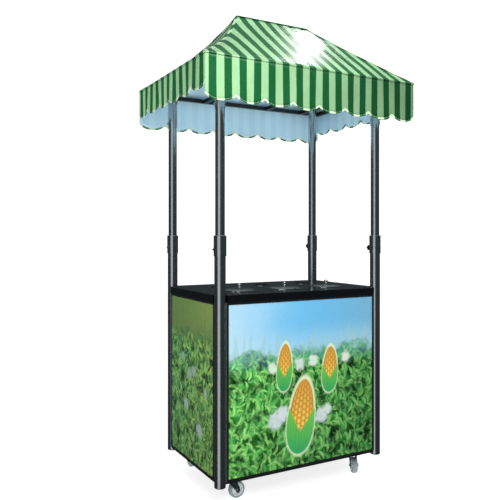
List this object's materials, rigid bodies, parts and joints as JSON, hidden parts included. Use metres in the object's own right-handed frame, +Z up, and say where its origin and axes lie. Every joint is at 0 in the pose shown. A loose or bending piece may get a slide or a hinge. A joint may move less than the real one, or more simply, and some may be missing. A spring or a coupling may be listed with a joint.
{
  "type": "push vending cart",
  "caption": "Push vending cart: printed box with black counter, pots and rear doors, on swivel casters, under a striped hip-roof canopy on telescoping poles.",
  "frame": {"origin": "on the floor, under the middle of the cart", "axes": "+X to the customer's right along the width, +Y towards the vendor, +Z up"},
  "size_m": [1.13, 0.816, 2.26],
  "materials": {
    "polished_stainless": "polished stainless tube, bright with dark reflections",
    "black_enamel": "satin black powder coat",
    "galvanised": "galvanised sheet, satin",
    "zinc_plate": "bright zinc plate",
    "black_plastic": "moulded black nylon",
    "black_trim": "extruded black strip, satin",
    "counter_laminate": "high-gloss black laminate",
    "front_print": "laminated vinyl print of a maize field and sky",
    "side_print": "laminated vinyl print of a maize field and sky",
    "door_laminate": "light grey laminated board",
    "pot_steel": "deep-drawn stainless, satin",
    "caster_tread": "grey thermoplastic rubber",
    "caster_hub": "light grey moulded polypropylene",
    "canopy_cloth": "PVC-coated polyester in dark green and mint stripes, glossy"
  },
  "bodies": {
    "cart": {"lower_posts": "polished_stainless", "post_end_caps": "black_plastic", "post_collars": "polished_stainless", "base_rails": "black_enamel", "top_rails": "black_enamel", "shelf_rails": "black_enamel", "floor_pan": "galvanised", "storage_shelf": "galvanised", "counter_top": "counter_laminate", "cup_rings": "pot_steel", "front_panel": "front_print", "left_panel": "side_print", "right_panel": "side_print", "panel_edge_trims": "black_trim", "panel_screws": "zinc_plate", "rear_jambs": "black_enamel", "hinge_fixed_leaves": "polished_stainless", "caster_plates": "zinc_plate", "caster_bolts": "zinc_plate"},
    "canopy": {"upper_poles": "polished_stainless", "pole_sockets": "polished_stainless", "socket_screws": "zinc_plate", "eave_frame": "black_enamel", "ridge_frame": "black_enamel", "canopy_roof": "canopy_cloth", "canopy_valance": "canopy_cloth"},
    "door_left": {"rear_door_left": "door_laminate", "door_handle_left": "polished_stainless", "hinge_moving_left": "polished_stainless"},
    "door_right": {"rear_door_right": "door_laminate", "door_handle_right": "polished_stainless", "hinge_moving_right": "polished_stainless"},
    "pot_left": {"food_pot_left": "pot_steel"},
    "lid_left": {"pot_lid_left": "pot_steel"},
    "pot_middle": {"food_pot_middle": "pot_steel"},
    "lid_middle": {"pot_lid_middle": "pot_steel"},
    "pot_right": {"food_pot_right": "pot_steel"},
    "lid_right": {"pot_lid_right": "pot_steel"},
    "lock_front_left": {"lock_screw_front_left": "black_plastic"},
    "fork_front_left": {"caster_front_left_fork": "zinc_plate", "caster_front_left_axle": "zinc_plate"},
    "wheel_front_left": {"caster_front_left_hub": "caster_hub", "caster_front_left_tyre": "caster_tread"},
    "lock_front_right": {"lock_screw_front_right": "black_plastic"},
    "fork_front_right": {"caster_front_right_fork": "zinc_plate", "caster_front_right_axle": "zinc_plate"},
    "wheel_front_right": {"caster_front_right_hub": "caster_hub", "caster_front_right_tyre": "caster_tread"},
    "lock_rear_left": {"lock_screw_rear_left": "black_plastic"},
    "fork_rear_left": {"caster_rear_left_fork": "zinc_plate", "caster_rear_left_axle": "zinc_plate"},
    "wheel_rear_left": {"caster_rear_left_hub": "caster_hub", "caster_rear_left_tyre": "caster_tread"},
    "brake_rear_left": {"caster_rear_left_brake": "black_enamel"},
    "lock_rear_right": {"lock_screw_rear_right": "black_plastic"},
    "fork_rear_right": {"caster_rear_right_fork": "zinc_plate", "caster_rear_right_axle": "zinc_plate"},
    "wheel_rear_right": {"caster_rear_right_hub": "caster_hub", "caster_rear_right_tyre": "caster_tread"},
    "brake_rear_right": {"caster_rear_right_brake": "black_enamel"}
  },
  "joints": [
    {"name": "canopy_slide", "type": "slide", "parent": "cart", "child": "canopy", "axis": [0, 0, 1], "range_m": [-0.54, 0]},
    {"name": "door_left_hinge", "type": "hinge", "parent": "cart", "child": "door_left", "pos_m": [-0.385, 0.293, 0.5], "axis": [0, 0, 1], "range_deg": [0, 110]},
    {"name": "door_right_hinge", "type": "hinge", "parent": "cart", "child": "door_right", "pos_m": [0.385, 0.293, 0.5], "axis": [0, 0, -1], "range_deg": [0, 110]},
    {"name": "pot_left_lift", "type": "slide", "parent": "cart", "child": "pot_left", "axis": [0, 0, 1], "range_m": [0, 0.25]},
    {"name": "lid_left_lift", "type": "slide", "parent": "pot_left", "child": "lid_left", "axis": [0, 0, 1], "range_m": [0, 0.2]},
    {"name": "pot_middle_lift", "type": "slide", "parent": "cart", "child": "pot_middle", "axis": [0, 0, 1], "range_m": [0, 0.25]},
    {"name": "lid_middle_lift", "type": "slide", "parent": "pot_middle", "child": "lid_middle", "axis": [0, 0, 1], "range_m": [0, 0.2]},
    {"name": "pot_right_lift", "type": "slide", "parent": "cart", "child": "pot_right", "axis": [0, 0, 1], "range_m": [0, 0.25]},
    {"name": "lid_right_lift", "type": "slide", "parent": "pot_right", "child": "lid_right", "axis": [0, 0, 1], "range_m": [0, 0.2]},
    {"name": "lock_front_left_turn", "type": "hinge", "parent": "cart", "child": "lock_front_left", "pos_m": [-0.432, -0.235, 1.122], "axis": [0, 1, 0], "range_deg": [0, 360]},
    {"name": "swivel_front_left", "type": "hinge", "parent": "cart", "child": "fork_front_left", "pos_m": [-0.345, -0.205, 0.09], "axis": [0, 0, 1], "continuous": true},
    {"name": "roll_front_left", "type": "hinge", "parent": "fork_front_left", "child": "wheel_front_left", "pos_m": [-0.315, -0.205, 0.0375], "axis": [0, 1, 0], "continuous": true},
    {"name": "lock_front_right_turn", "type": "hinge", "parent": "cart", "child": "lock_front_right", "pos_m": [0.432, -0.235, 1.122], "axis": [0, 1, 0], "range_deg": [0, 360]},
    {"name": "swivel_front_right", "type": "hinge", "parent": "cart", "child": "fork_front_right", "pos_m": [0.345, -0.205, 0.09], "axis": [0, 0, 1], "continuous": true},
    {"name": "roll_front_right", "type": "hinge", "parent": "fork_front_right", "child": "wheel_front_right", "pos_m": [0.33232, -0.23219, 0.0375], "axis": [0.9063, -0.4226, 0], "continuous": true},
    {"name": "lock_rear_left_turn", "type": "hinge", "parent": "cart", "child": "lock_rear_left", "pos_m": [-0.432, 0.315, 1.122], "axis": [0, 1, 0], "range_deg": [0, 360]},
    {"name": "swivel_rear_left", "type": "hinge", "parent": "cart", "child": "fork_rear_left", "pos_m": [-0.345, 0.205, 0.09], "axis": [0, 0, 1], "continuous": true},
    {"name": "roll_rear_left", "type": "hinge", "parent": "fork_rear_left", "child": "wheel_rear_left", "pos_m": [-0.345, 0.235, 0.0375], "axis": [-1, 0, 0], "continuous": true},
    {"name": "brake_rear_left_press", "type": "hinge", "parent": "fork_rear_left", "child": "brake_rear_left", "pos_m": [-0.345, 0.256, 0.08], "axis": [-1, 0, 0], "range_deg": [0, 12]},
    {"name": "lock_rear_right_turn", "type": "hinge", "parent": "cart", "child": "lock_rear_right", "pos_m": [0.432, 0.315, 1.122], "axis": [0, 1, 0], "range_deg": [0, 360]},
    {"name": "swivel_rear_right", "type": "hinge", "parent": "cart", "child": "fork_rear_right", "pos_m": [0.345, 0.205, 0.09], "axis": [0, 0, 1], "continuous": true},
    {"name": "roll_rear_right", "type": "hinge", "parent": "fork_rear_right", "child": "wheel_rear_right", "pos_m": [0.36, 0.23098, 0.0375], "axis": [-0.866, 0.5, 0], "continuous": true},
    {"name": "brake_rear_right_press", "type": "hinge", "parent": "fork_rear_right", "child": "brake_rear_right", "pos_m": [0.3705, 0.24917, 0.08], "axis": [-0.866, 0.5, 0], "range_deg": [0, 12]}
  ]
}
